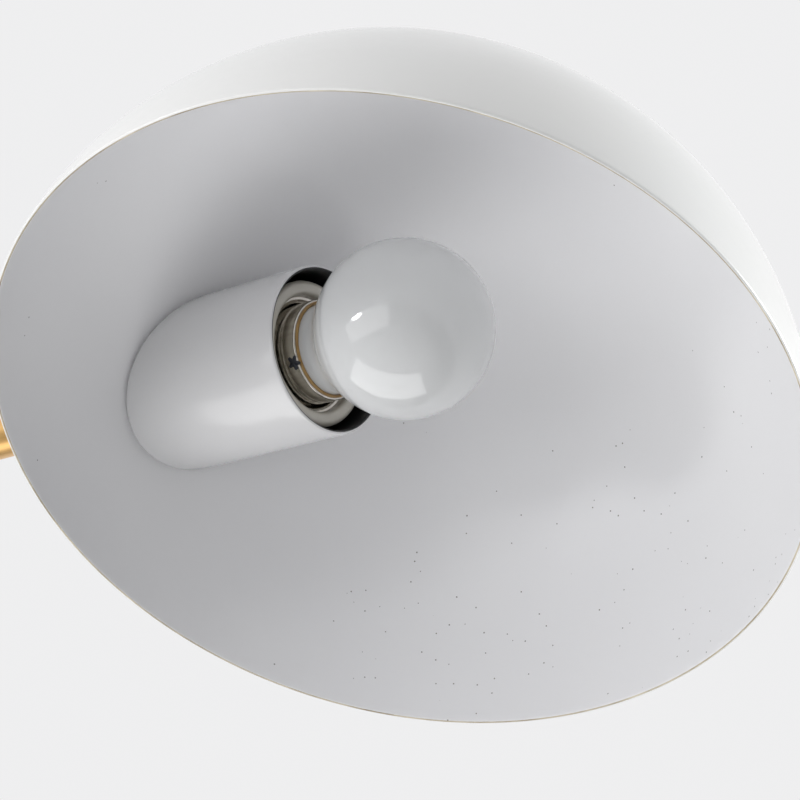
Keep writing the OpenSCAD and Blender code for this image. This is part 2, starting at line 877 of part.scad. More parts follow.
// Porcelain body: round front ring, well for the screw shell, wiring well behind.
module lampholder() {
    front = holder_front_s - holder_back_s;
    edge = 1.6;
    taper = 3.6;
    land_r = holder_r - 4.2;
    color([0.86, 0.84, 0.78]) at_head(holder_back_s) difference() {
        rotate_extrude() difference() {
            union() {
                polygon([
                    [0, 0], [land_r, 0], [holder_r, taper], [holder_r, front - edge],
                    [holder_r - edge, front], [0, front]
                ]);
                translate([holder_r - edge, front - edge]) circle(r = edge);
            }
            translate([0, well_floor_s - holder_back_s]) square([well_r, front]);
        }
        translate([0, 0, -1]) cylinder(r = rear_well_r, h = rear_floor_s - holder_back_s + 1);
        for (side = [-1, 1]) {
            translate([side * bracket_screw_x, 0, -1])
                cylinder(r = bracket_screw_r + seat_gap, h = bracket_screw_len + 2);
            translate([side * terminal_x, 0, 0])
                cylinder(r = terminal_r + seat_gap, h = rear_floor_s - holder_back_s + 2);
        }
        cylinder(r = rivet_r + seat_gap, h = front);
    }
}

// Nickel screw shell with a rolled lip and a notch in its wall.
module screw_shell() {
    lip_s = holder_front_s - 2.8;
    floor_s = well_floor_s;
    lip_round = 0.6;
    ridge_round = 0.4;
    lip_ring = shell_r + shell_t + lip_round - 0.25;
    notch_w = 2.4;
    color([0.8, 0.79, 0.75]) difference() {
        union() {
            at_head(floor_s) ring(shell_r + shell_t, shell_r, lip_s - floor_s);
            at_head(lip_s) rotate_extrude() translate([lip_ring, 0]) circle(r = lip_round);
            for (i = [1 : 3])
                at_head(floor_s + i * thread_pitch) rotate_extrude()
                    translate([shell_r + shell_t, 0]) circle(r = ridge_round);
        }
        at_head(floor_s) cylinder(r = shell_r, h = lip_s - floor_s + 2);
        at_head(lip_s - 5) rotate([0, 0, 250])
            translate([shell_r - 1, -notch_w / 2, 0]) cube([3, notch_w, 8]);
    }
}

// Spring tab under the lamp's tip, riveted through the porcelain.
module centre_contact() {
    color([0.8, 0.62, 0.3]) {
        at_head(rear_floor_s) cylinder(r = rivet_r, h = well_floor_s - rear_floor_s);
        at_head(well_floor_s) cylinder(r = 4.5, h = contact_t);
        at_head(rear_floor_s - 0.4) cylinder(r = 2.2, h = 0.4);
    }
}

module terminal_screws() {
    color([0.8, 0.62, 0.3]) for (side = [-1, 1])
        at_head(rear_floor_s) translate([side * terminal_x, 0, 0]) {
            cylinder(r = terminal_r, h = 1.5);
            translate([0, 0, -terminal_post]) cylinder(r = terminal_r, h = terminal_post);
            translate([0, 0, -terminal_post - terminal_head_h])
                cylinder(r = terminal_head_r, h = terminal_head_h);
        }
}

// Through the shade's pipe, then out to a terminal screw behind the porcelain.
module shade_wire(side) {
    turn = 1.6;
    start = pipe_back_s + wire_split;
    straight = terminal_wire_s - turn - start;
    at_head(start) translate([side * wire_x, -wire_drop, 0]) {
        cylinder(r = wire_r, h = straight);
        translate([side * turn, 0, straight]) rotate([90, 0, 0])
            rotate([0, 0, side > 0 ? 90 : 0])
                rotate_extrude(angle = 90) translate([turn, 0]) circle(r = wire_r);
        translate([side * turn, 0, straight + turn]) rotate([0, side * 90, 0])
            cylinder(r = wire_r, h = terminal_x - terminal_r - wire_x - turn - 0.05);
    }
}

module live_wire_shade() {
    color([0.12, 0.12, 0.12]) shade_wire(1);
}

module neutral_wire_shade() {
    color([0.92, 0.92, 0.9]) shade_wire(-1);
}

// ---- lamp ----

// Globe and neck as one solid, shrunk by a wall thickness. The neck flares into the globe
// along an arc that touches both.
module globe_solid(shrink) {
    r = globe_r - shrink;
    neck = neck_r - shrink;
    fillet = neck_fillet + shrink;
    fillet_s = sqrt((r + fillet) * (r + fillet) - (neck + fillet) * (neck + fillet));
    start = atan2(fillet_s, -neck - fillet);
    steps = 8;
    flare = [for (i = [0 : steps])
        let (a = start + (180 - start) * i / steps)
        [neck + fillet + fillet * cos(a), -fillet_s + fillet * sin(a)]];
    sphere(r = r);
    rotate_extrude() polygon(concat(
        [[0, -neck], [flare[0][0] - 0.3, flare[0][1] + 0.3]], flare,
        [[neck, base_front_s - globe_s - 2 + shrink], [0, base_front_s - globe_s - 2 + shrink]]
    ));
}

module lamp_globe() {
    color([0.98, 0.98, 0.97]) at_head(globe_s) difference() {
        globe_solid(0);
        globe_solid(glass_t);
    }
}

module lamp_base() {
    skirt = base_front_s - tip_s - thread_len - insulator_len;
    thread_s = base_front_s - skirt - thread_len;
    color([0.8, 0.79, 0.75]) difference() {
        union() {
            at_head(thread_s) thread_solid(base_d / 2);
            at_head(base_front_s - skirt - 0.3)
                cylinder(r = base_d / 2 - thread_depth, h = skirt + 0.3);
        }
        at_head(thread_s + 1) cylinder(r = neck_r - 0.3, h = base_len);
        at_head(base_front_s - 2) cylinder(r = neck_r, h = 4);
        at_head(thread_s - 1) cylinder(r = insulator_r - 2, h = 4);
    }
}

// Black glass cone between the shell and the tip contact.
module lamp_insulator() {
    thread_s = tip_s + insulator_len;
    color([0.05, 0.05, 0.05]) at_head(tip_s + 1) difference() {
        union() {
            cylinder(r1 = 5.2, r2 = insulator_r, h = thread_s - tip_s - 1);
            translate([0, 0, thread_s - tip_s - 1]) cylinder(r = insulator_r - 2, h = 1);
        }
        translate([0, 0, -1]) cylinder(r = tip_r + seat_gap, h = 5);
    }
}

module lamp_contact() {
    color([0.75, 0.75, 0.78]) at_head(tip_s) {
        translate([0, 0, 1]) cylinder(r = tip_r, h = 2.5);
        intersection() {
            translate([0, 0, 9]) sphere(r = 9);
            cylinder(r = 4.4, h = 1);
        }
    }
}

mounting_bar();
canopy();
canopy_studs();
canopy_cap_nuts();
wall_pipe();
wall_pipe_nuts();
ground_screw();
ground_lead();
wire_connectors();
wall_knuckle();
wall_knuckle_cap();
wall_pivot_pipe();
wall_pivot_nuts();
wall_pivot_washer();
wall_pivot_spring();
wall_stop_pin();
live_wire_wall();
neutral_wire_wall();
first_arm_tube();
first_arm_knuckle();
first_knuckle_cap();
elbow_upper_knuckle();
elbow_upper_cap();
first_arm_set_screws();
elbow_pivot_pipe();
elbow_pivot_nuts();
elbow_pivot_washer();
elbow_pivot_spring();
elbow_stop_pin();
live_wire_first_arm();
neutral_wire_first_arm();
elbow_lower_knuckle();
elbow_lower_cap();
second_arm_tube();
second_arm_set_screws();
swivel_housing();
swivel_plug();
live_wire_second_arm();
neutral_wire_second_arm();
shade_pipe();
shade_pipe_nuts();
swivel_washer();
swivel_spring();
shade_collar();
shade();
socket_cup();
wedge_washer();
tooth_washer();
holder_bracket();
bracket_screws();
lampholder();
screw_shell();
centre_contact();
terminal_screws();
live_wire_shade();
neutral_wire_shade();
lamp_globe();
lamp_base();
lamp_insulator();
lamp_contact();
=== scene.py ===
# %% [markdown]
# # A swing arm wall sconce, modelled piece by piece
# A wall light of this kind is a brass canopy on the wall, two brass tubes that swing on upright
# pivots, and a white dome shade that turns on the end of the second tube. The design file already
# holds every piece at its true size, so this script starts from that frame. It then remakes the
# pieces that show, with the fine edges, threads and finishes that a design model leaves out.

# %% Load the frame
import json
from math import acos, asin, atan2, cos, pi, radians, sin, sqrt

import bpy
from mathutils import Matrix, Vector, noise


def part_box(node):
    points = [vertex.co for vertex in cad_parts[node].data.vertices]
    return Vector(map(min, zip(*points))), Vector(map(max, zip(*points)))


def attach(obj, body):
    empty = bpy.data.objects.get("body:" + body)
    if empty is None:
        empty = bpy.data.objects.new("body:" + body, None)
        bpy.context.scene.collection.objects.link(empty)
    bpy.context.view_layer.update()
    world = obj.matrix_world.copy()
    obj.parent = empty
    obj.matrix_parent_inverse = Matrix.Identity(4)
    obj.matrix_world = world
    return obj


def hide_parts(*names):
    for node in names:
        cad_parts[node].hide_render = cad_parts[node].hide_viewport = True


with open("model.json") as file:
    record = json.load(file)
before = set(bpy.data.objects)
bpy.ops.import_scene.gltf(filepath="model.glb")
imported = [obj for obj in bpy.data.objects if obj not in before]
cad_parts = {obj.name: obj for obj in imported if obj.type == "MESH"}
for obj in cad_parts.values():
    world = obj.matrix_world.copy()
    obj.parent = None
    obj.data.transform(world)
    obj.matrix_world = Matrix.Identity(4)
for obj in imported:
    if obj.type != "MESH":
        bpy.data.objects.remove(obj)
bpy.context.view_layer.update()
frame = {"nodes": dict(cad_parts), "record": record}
MM = 0.001

# %% [markdown]
# ## Where everything is
# Nothing is measured by eye here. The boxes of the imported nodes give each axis, radius and face,
# and the joints give the pivots. Only a few facts that a box can't tell, such as the shade's lean,
# are written down as numbers.

# %% Sizes and places from the frame
def box_of(node):
    low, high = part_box(node)
    return Vector(low), Vector(high)


def middle(node):
    low, high = box_of(node)
    return (low + high) / 2


JOINTS = {joint["name"]: Vector(joint["pos_m"]) for joint in frame["record"]["behaviour"]["joints"]}
WALL_AXIS_Y = JOINTS["wall_swing"].y
ELBOW_Y = JOINTS["elbow_swing"].y
LEAN = radians(8.5)
SHADE_H = 92 * MM
SHADE_T = 1 * MM
shade_low, shade_high = box_of("shade")
RIM_R = (shade_high.x - shade_low.x) / 2
BALL_R = (RIM_R ** 2 + SHADE_H ** 2) / (2 * SHADE_H)
# The rim plane lies a little above the ball's middle, square to the leaning axis.
RIM_UP = BALL_R - SHADE_H
ball_y = shade_low.y + RIM_R * cos(LEAN) - RIM_UP * sin(LEAN)
ball_z = shade_high.z - BALL_R
BALL_AT = Vector((0, ball_y, ball_z))
# Holes that every pivot and tube needs: for the threaded pipe, a tube's end and the wires.
PIPE_HOLE_R = 5.05 * MM
SHEET_HOLE_R = 5.3 * MM
TUBE_HOLE_R = 6.05 * MM
WIRE_WAY_R = 5 * MM
FACE_GAP = 0.05 * MM
print("ball radius", round(BALL_R, 4), "middle", [round(v, 4) for v in BALL_AT])

# %% [markdown]
# ## The camera comes first
# The view is from below, close to the shade's open side, through a long lens. The camera is rolled
# a little, as a hand-held one would be, so the arm slants across the frame.

# %% Camera
RIM_AT = BALL_AT + Vector((0, sin(LEAN), cos(LEAN))) * RIM_UP
CAMERA_FROM_RIM = Vector((-339.8, -433.6, -451.3)) * MM
camera_data = bpy.data.cameras.new("camera")
camera = bpy.data.objects.new("camera", camera_data)
bpy.context.collection.objects.link(camera)
camera.location = RIM_AT + CAMERA_FROM_RIM
camera.rotation_euler = (radians(132.85), radians(-19.25), radians(-54.88))
camera_data.lens = 135
camera_data.sensor_width = 36
camera_data.dof.use_dof = False
camera_data.clip_start = 0.02
camera_data.clip_end = 50
bpy.context.scene.camera = camera
print("camera at", [round(v, 3) for v in camera.location])

# %% [markdown]
# ## Light and floor
# White paint shows its shape only through soft changes of light. The studio is bright on the
# wall's side and dim on the room's side, so the world fades from one to the other. Two broad panels
# light the shade's inside, one from the camera's left and one from below, and a high one in the
# room lights the arms and the dome. A small oval panel puts a crisp glint on the glass, and the
# floor lies well under the lamp and throws light back up.

# %% Light and floor
scene = bpy.context.scene
scene.view_settings.view_transform = "Standard"
scene.view_settings.look = "None"
BRIGHT_SIDE = Vector((-0.35, 0.9, -0.05)).normalized()
DIM, BRIGHT = 0.12, 0.86
world = bpy.data.worlds.new("studio")
scene.world = world
world.use_nodes = True
world_nodes = world.node_tree.nodes
world_links = world.node_tree.links
direction = world_nodes.new("ShaderNodeTexCoord").outputs["Generated"]
facing = world_nodes.new("ShaderNodeVectorMath")
facing.operation = "DOT_PRODUCT"
facing.inputs[1].default_value = BRIGHT_SIDE
world_links.new(direction, facing.inputs[0])
level = world_nodes.new("ShaderNodeMapRange")
level.inputs["From Min"].default_value = -0.5
level.inputs["From Max"].default_value = 0.22
level.inputs["To Min"].default_value = DIM
level.inputs["To Max"].default_value = BRIGHT
world_links.new(facing.outputs["Value"], level.inputs["Value"])
world_nodes["Background"].inputs["Color"].default_value = (1.0, 1.0, 1.008, 1)
world_links.new(level.outputs["Result"], world_nodes["Background"].inputs["Strength"])


def light_panel(name, at, aim, size, power):
    """A soft white panel that faces a point."""
    data = bpy.data.lights.new(name, "AREA")
    data.shape = "RECTANGLE"
    data.size, data.size_y = size
    data.energy = power
    panel = bpy.data.objects.new(name, data)
    bpy.context.collection.objects.link(panel)
    panel.location = at
    panel.rotation_euler = (Vector(aim) - Vector(at)).to_track_quat("-Z", "Y").to_euler()
    return panel


# Each panel's place in metres, its size in metres and its power in watts.
light_panel("panel_left", (-1.15, -0.25, -0.5), RIM_AT, (1.5, 1.4), 8.4)
light_panel("panel_under", (0.36, -0.22, -1.0), RIM_AT, (1.6, 1.2), 10.2)
light_panel("panel_room", (0.9, -1.35, 0.6), RIM_AT, (1.0, 1.0), 34.0)
glint = light_panel("glint", (-0.66, -0.2, -0.34), RIM_AT, (0.2, 0.09), 0.7)
glint.data.shape = "ELLIPSE"

FLOOR_Z = -1.1
bpy.ops.object.select_all(action="DESELECT")
bpy.ops.mesh.primitive_plane_add(size=8, location=(0, -0.3, FLOOR_Z))
floor = bpy.context.object
floor.name = "floor"
bpy.ops.object.transform_apply(location=True, rotation=True, scale=True)
print("four panels, and a floor at", FLOOR_Z)

# %% [markdown]
# ## Material helpers
# Every finish is a small tree of nodes. Colour, roughness and bump each take a noise of a scale
# that suits the stuff: fine grain for brushed metal, slow ripples for sprayed paint. All of them
# read Object coordinates, so a pattern stays put when a piece moves.

# %% Material helpers
class Finish:
    """A material under construction, with short names for the nodes that it uses."""

    def __init__(self, name, colour, roughness, metallic=0.0):
        self.material = bpy.data.materials.new(name)
        self.material.use_nodes = True
        self.nodes = self.material.node_tree.nodes
        self.links = self.material.node_tree.links
        self.shader = self.nodes["Principled BSDF"]
        self.shader.inputs["Base Color"].default_value = (*colour, 1)
        self.shader.inputs["Roughness"].default_value = roughness
        self.shader.inputs["Metallic"].default_value = metallic
        self.place = self.nodes.new("ShaderNodeTexCoord").outputs["Object"]

    def set(self, **sockets):
        for name, value in sockets.items():
            self.shader.inputs[name.replace("_", " ")].default_value = value
        return self

    def stretched(self, scale, turn=(0, 0, 0)):
        mapping = self.nodes.new("ShaderNodeMapping")
        mapping.inputs["Scale"].default_value = scale
        mapping.inputs["Rotation"].default_value = turn
        self.links.new(self.place, mapping.inputs["Vector"])
        return mapping.outputs["Vector"]

    def ringed(self, scale):
        """Rings round the Y axis: the distance from it, and the depth along it."""
        apart = self.nodes.new("ShaderNodeSeparateXYZ")
        self.links.new(self.place, apart.inputs["Vector"])
        square = [self.math("MULTIPLY", apart.outputs[n], apart.outputs[n]) for n in ("X", "Z")]
        radius = self.math("POWER", self.math("ADD", *square), 0.5)
        joined = self.nodes.new("ShaderNodeCombineXYZ")
        self.links.new(self.math("MULTIPLY", radius, scale), joined.inputs["X"])
        self.links.new(self.math("MULTIPLY", apart.outputs["Y"], scale), joined.inputs["Y"])
        return joined.outputs["Vector"]

    def noise(self, scale, detail=3.0, vector=None, rough=0.5):
        node = self.nodes.new("ShaderNodeTexNoise")
        node.inputs["Scale"].default_value = scale
        node.inputs["Detail"].default_value = detail
        node.inputs["Roughness"].default_value = rough
        self.links.new(vector or self.place, node.inputs["Vector"])
        return node.outputs["Fac"]

    def cells(self, scale, vector=None):
        node = self.nodes.new("ShaderNodeTexVoronoi")
        node.inputs["Scale"].default_value = scale
        self.links.new(vector or self.place, node.inputs["Vector"])
        return node.outputs["Distance"]

    def fade(self, value, low, high, to_low=0.0, to_high=1.0):
        node = self.nodes.new("ShaderNodeMapRange")
        node.inputs["From Min"].default_value = low
        node.inputs["From Max"].default_value = high
        node.inputs["To Min"].default_value = to_low
        node.inputs["To Max"].default_value = to_high
        self.links.new(value, node.inputs["Value"])
        return node.outputs["Result"]

    def math(self, kind, a, b):
        node = self.nodes.new("ShaderNodeMath")
        node.operation = kind
        for socket, value in zip(node.inputs, (a, b)):
            if isinstance(value, (int, float)):
                socket.default_value = value
            else:
                self.links.new(value, socket)
        return node.outputs["Value"]

    def mixed(self, factor, a, b):
        node = self.nodes.new("ShaderNodeMix")
        node.data_type = "RGBA"
        for socket, value in zip((node.inputs[0], node.inputs[6], node.inputs[7]), (factor, a, b)):
            if isinstance(value, tuple):
                socket.default_value = (*value, 1)
            else:
                self.links.new(value, socket)
        return node.outputs[2]

    def colour(self, output):
        self.links.new(output, self.shader.inputs["Base Color"])
        return self

    def roughness(self, output):
        self.links.new(output, self.shader.inputs["Roughness"])
        return self

    def bump(self, height, strength, distance):
        node = self.nodes.new("ShaderNodeBump")
        node.inputs["Strength"].default_value = strength
        node.inputs["Distance"].default_value = distance
        self.links.new(height, node.inputs["Height"])
        self.links.new(node.outputs["Normal"], self.shader.inputs["Normal"])
        return self


# %% [markdown]
# ### White enamel
# The shade and cup are sprayed and baked. Real enamel has a faint orange-peel ripple, a slight
# drift of tone and a few specks of dust that settled in the wet coat. Outside it is glossy, and
# inside it dried a little duller and cooler.

# %% White enamel finishes
def enamel(name, tone, cool, roughness, specks=0, speck_scale=0):
    """Specks is a dust speck's radius as a share of the spacing, and speck_scale is specks a metre."""
    made = Finish(name, tone, roughness)
    drift = made.noise(9.0, 2.0)
    base = made.mixed(made.fade(drift, 0.35, 0.65), tone, cool)
    if specks:
        near = made.math("LESS_THAN", made.cells(speck_scale), specks)
        # Dust lay mostly on one side of the shade while the coat was wet.
        across = made.nodes.new("ShaderNodeSeparateXYZ")
        made.links.new(made.place, across.inputs["Vector"])
        least = made.fade(across.outputs["X"], 0.03, 0.085, 0.66, 0.42)
        where = made.math("GREATER_THAN", made.noise(45.0, 1.0), least)
        base = made.mixed(made.math("MULTIPLY", near, where), base, (0.20, 0.19, 0.18))
    made.colour(base)
    made.roughness(made.fade(made.noise(30.0, 2.0), 0.3, 0.7, roughness - 0.03, roughness + 0.05))
    made.bump(made.noise(420.0, 2.0), 0.05, 0.0004)
    return made


def finish_enamel_outside():
    return enamel("enamel_outside", (0.84, 0.84, 0.83), (0.80, 0.81, 0.805), 0.2).set(
        Coat_Weight=0.4, Coat_Roughness=0.08
    ).material


def finish_enamel_inside():
    return enamel(
        "enamel_inside", (0.81, 0.81, 0.82), (0.78, 0.78, 0.795), 0.42, 0.07, 330.0
    ).material


def finish_enamel_cup():
    return enamel("enamel_cup", (0.65, 0.65, 0.655), (0.62, 0.62, 0.63), 0.2).set(
        Coat_Weight=0.35, Coat_Roughness=0.1
    ).material


ENAMEL_OUTSIDE = finish_enamel_outside()
ENAMEL_INSIDE = finish_enamel_inside()
ENAMEL_CUP = finish_enamel_cup()
print("enamels made")


# %% [markdown]
# ### Brass, nickel and steel
# Satin brass is brushed: fine scratches run along each tube and round each turned piece, and a
# thin clear lacquer lies over them. Noise that is stretched one way gives the scratches. On a piece
# that was spun, such as the canopy, it is drawn out in rings instead, from the distance to the
# axis. Slow noise gives the slightly warmer patches where the lacquer is thicker.

# %% Metal finishes
def metal(name, light, dark, roughness, scale=None, rings=0.0):
    """Scratches follow a stretched scale, or rings round the Y axis if a ring scale is given."""
    streak = 0.1
    made = Finish(name, light, roughness, 1.0)
    along = made.ringed(rings) if rings else made.stretched(scale)
    grain = made.noise(1.0, 4.0, along)
    patches = made.noise(14.0, 2.0)
    streaked = made.mixed(made.fade(grain, 0.3, 0.7), dark, light)
    warm = tuple(v * w for v, w in zip(dark, (0.97, 0.9, 0.8)))
    worn = made.math("MULTIPLY", made.fade(patches, 0.5, 0.75), streak)
    made.colour(made.mixed(worn, streaked, warm))
    made.roughness(made.fade(grain, 0.3, 0.7, roughness - 0.04, roughness + 0.06))
    made.bump(grain, 0.05, 0.0001)
    return made


def brass(name, roughness, scale=None, rings=0.0):
    made = metal(name, (0.80, 0.50, 0.195), (0.72, 0.43, 0.155), roughness, scale, rings)
    return made.set(Coat_Weight=0.12, Coat_Roughness=0.12).material


BRASS_ALONG = brass("brass_brushed_along", 0.33, (5200, 60, 5200))
BRASS_ROUND = brass("brass_turned_upright", 0.28, (60, 60, 3200))
BRASS_FACE = brass("brass_spun", 0.3, rings=2600.0)
PIPE_BRASS = metal(
    "brass_pipe", (0.83, 0.62, 0.28), (0.66, 0.46, 0.18), 0.34, (300, 3000, 300)
).material
ZINC = metal("zinc_plate", (0.70, 0.71, 0.72), (0.52, 0.53, 0.55), 0.36, (900, 900, 900)).material
SPRING = metal("spring_steel", (0.46, 0.46, 0.47), (0.3, 0.3, 0.31), 0.4, (900, 900, 900)).material
BLACK_STEEL = metal(
    "blackened_steel", (0.07, 0.07, 0.075), (0.03, 0.03, 0.03), 0.45, (900, 900, 900)
).material
NICKEL = metal("nickel_plate", (0.72, 0.69, 0.63), (0.56, 0.53, 0.48), 0.2, (700, 90, 700)).material
print("metals made")

# %% [markdown]
# ### Porcelain, glass, plastic and wire
# The lampholder's glaze is thick and a little uneven. Opal glass is white right through, so light
# that enters leaves again nearby: the shader's subsurface share does that, and a hard clear
# surface lies over it.

# %% Other finishes
def mottled(name, light, dark, roughness, scale, bump=0.08):
    made = Finish(name, light, roughness)
    made.colour(made.mixed(made.fade(made.noise(scale, 3.0), 0.3, 0.7), dark, light))
    made.roughness(made.fade(made.noise(scale * 2, 2.0), 0.3, 0.7, roughness - 0.04, roughness + 0.08))
    made.bump(made.noise(scale * 6, 2.0), bump, 0.0003)
    return made


PORCELAIN = mottled("porcelain_glaze", (0.74, 0.71, 0.63), (0.62, 0.59, 0.52), 0.14, 60.0).set(
    Coat_Weight=0.6, Coat_Roughness=0.05
).material
OPAL = mottled("opal_glass", (0.66, 0.67, 0.675), (0.64, 0.65, 0.655), 0.09, 25.0, 0.02).set(
    Subsurface_Weight=0.2, Subsurface_Radius=(1, 1, 1), Subsurface_Scale=0.003,
    Coat_Weight=0.6, Coat_Roughness=0.03
).material
CEMENT = mottled("base_cement", (0.42, 0.26, 0.09), (0.26, 0.15, 0.05), 0.5, 300.0, 0.3).material
SOLDER = mottled("weld_grey", (0.045, 0.05, 0.065), (0.02, 0.022, 0.03), 0.4, 900.0, 0.4).material
# The cup's inside is near-black: painted shade for the deep gap behind the bulb, between the cup's wall and
# the lampholder.
CUP_INSIDE_PAINTED_SHADE = mottled("cup_inside_painted_shade", (0.012, 0.012, 0.014), (0.008, 0.008, 0.009), 0.35, 80.0).material
RAW_EDGE = mottled("raw_rim_edge", (0.62, 0.55, 0.42), (0.30, 0.25, 0.17), 0.5, 120.0, 0.3).material
NYLON = mottled("nylon", (0.80, 0.78, 0.70), (0.72, 0.70, 0.62), 0.45, 120.0).material
BLACK_GLASS = mottled("black_base_glass", (0.012, 0.012, 0.02), (0.02, 0.018, 0.03), 0.08, 90.0).material
WIRE_BLACK = mottled("wire_black", (0.02, 0.02, 0.02), (0.035, 0.035, 0.035), 0.5, 300.0).material
WIRE_WHITE = mottled("wire_white", (0.78, 0.78, 0.74), (0.70, 0.70, 0.66), 0.5, 300.0).material
WIRE_GREEN = mottled("wire_green", (0.03, 0.26, 0.07), (0.02, 0.19, 0.05), 0.5, 300.0).material
GREEN_SCREW = mottled("green_plate", (0.04, 0.30, 0.09), (0.02, 0.20, 0.06), 0.35, 300.0).material
ORANGE = mottled("connector_plastic", (0.80, 0.28, 0.04), (0.70, 0.22, 0.03), 0.3, 200.0).material
FLOOR_PAINT = mottled("floor_paint", (0.52, 0.52, 0.52), (0.50, 0.50, 0.50), 0.8, 3.0, 0.0).material
floor.data.materials.append(FLOOR_PAINT)
print("other finishes made")

# %% [markdown]
# ### Finishes for the pieces that stay as designed
# Pieces inside the barrels, the canopy and the lampholder keep their designed shape. Each still
# gets a proper finish, chosen by the material slot that the record gives it.

# %% Finish the designed nodes
SLOT_FINISH = {
    "brass": BRASS_FACE, "pipe_brass": PIPE_BRASS, "zinc_steel": ZINC, "spring_steel": SPRING,
    "black_steel": BLACK_STEEL, "nylon": NYLON, "shade_white": ENAMEL_OUTSIDE,
    "cup_white": ENAMEL_CUP, "porcelain": PORCELAIN, "nickel": NICKEL, "opal_glass": OPAL,
    "black_glass": BLACK_GLASS, "wire_black": WIRE_BLACK, "wire_white": WIRE_WHITE,
    "wire_green": WIRE_GREEN, "green_screw": GREEN_SCREW, "connector_orange": ORANGE,
}
for part in frame["record"]["subparts"]:
    node = frame["nodes"][part["node"]]
    finish = SLOT_FINISH[part["material_slot"]]
    if not node.data.materials:
        node.data.materials.append(finish)
    for index in range(len(node.material_slots)):
        node.material_slots[index].material = finish

# %% [markdown]
# ## Tools for turning
# Most of a lamp is turned or spun, so the main tool is a lathe. One vertex is left from a small
# plane, an outline is drawn from it by extruding, point by point, and the outline is spun round
# the axis. Doubles are merged and the faces are made to point outwards.

# %% The lathe
def deselect():
    bpy.ops.object.select_all(action="DESELECT")


def only(piece):
    deselect()
    piece.select_set(True)
    bpy.context.view_layer.objects.active = piece


def arc(middle_at, radius, start, end, steps):
    """Points on a round stretch of an outline, both ends included. Angles are in degrees."""
    points = []
    for i in range(steps + 1):
        a = radians(start + (end - start) * i / steps)
        points.append((middle_at[0] + radius * cos(a), middle_at[1] + radius * sin(a)))
    return points


def turned(name, outline, steps=96, closed=True):
    """Spins an outline of (radius, height) points round the Z axis."""
    deselect()
    bpy.ops.mesh.primitive_plane_add(size=0.001)
    piece = bpy.context.object
    piece.name = name
    bpy.ops.object.mode_set(mode="EDIT")
    bpy.ops.mesh.merge(type="CENTER")
    bpy.ops.mesh.select_all(action="SELECT")
    last = Vector((0, 0, 0))
    points = list(outline) + ([outline[0]] if closed else [])
    for index, (radius, height) in enumerate(points):
        target = Vector((radius, 0, height))
        step = tuple(target - last)
        if index == 0:
            bpy.ops.transform.translate(value=step)
        else:
            bpy.ops.mesh.extrude_region_move(TRANSFORM_OT_translate={"value": step})
        last = target
    bpy.ops.mesh.select_all(action="SELECT")
    bpy.ops.mesh.spin(steps=steps, angle=2 * pi, center=(0, 0, 0), axis=(0, 0, 1))
    bpy.ops.mesh.select_all(action="SELECT")
    bpy.ops.mesh.remove_doubles(threshold=1e-6)
    bpy.ops.mesh.normals_make_consistent(inside=False)
    bpy.ops.object.mode_set(mode="OBJECT")
    return piece


def settle(piece, at=(0, 0, 0), turn=(0, 0, 0)):
    """Turns and moves a piece, then puts that into its mesh."""
    only(piece)
    piece.rotation_euler = turn
    piece.location = at
    bpy.ops.object.transform_apply(location=True, rotation=True, scale=True)
    return piece


def along_arm(piece, y, z=0.0, x=0.0):
    """Lays a turned piece along the arm: its foot at y, its top towards the room."""
    return settle(piece, (x, y, z), (radians(90), 0, 0))


def cut(piece, tool, kind="DIFFERENCE"):
    """Joins, cuts or keeps what is common, and then puts the tool away."""
    only(piece)
    step = piece.modifiers.new("cut", "BOOLEAN")
    step.operation = kind
    step.solver = "EXACT"
    step.object = tool
    bpy.ops.object.modifier_apply(modifier=step.name)
    bpy.data.objects.remove(tool, do_unlink=True)
    return piece


def soften(piece, width, angle=35.0, segments=3):
    """Rounds the edges that are sharper than an angle."""
    only(piece)
    step = piece.modifiers.new("soften", "BEVEL")
    step.width = width
    step.segments = segments
    step.limit_method = "ANGLE"
    step.angle_limit = radians(angle)
    step.use_clamp_overlap = True
    bpy.ops.object.modifier_apply(modifier=step.name)
    return piece


def shade_smooth(piece, angle=40.0):
    only(piece)
    bpy.ops.object.shade_smooth_by_angle(angle=radians(angle))
    return piece


def finished(piece, finish, slot, body, *nodes, angle=40.0):
    """Gives a finish, names the body, and hides the designed nodes it stands for. The slot is not used."""
    if finish is not None:
        piece.data.materials.clear()
        piece.data.materials.append(finish)
    shade_smooth(piece, angle)
    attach(piece, body)
    if nodes:
        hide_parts(*nodes)
    print(piece.name, "faces", len(piece.data.polygons))
    return piece


# %% [markdown]
# ## The shade
# It is spun from thin sheet over a round former, so its outline is an arc outside, an arc inside
# and a rim that was cut, lightly rounded and left bare. The lathe makes it upright, and then it
# leans back by its own small angle.

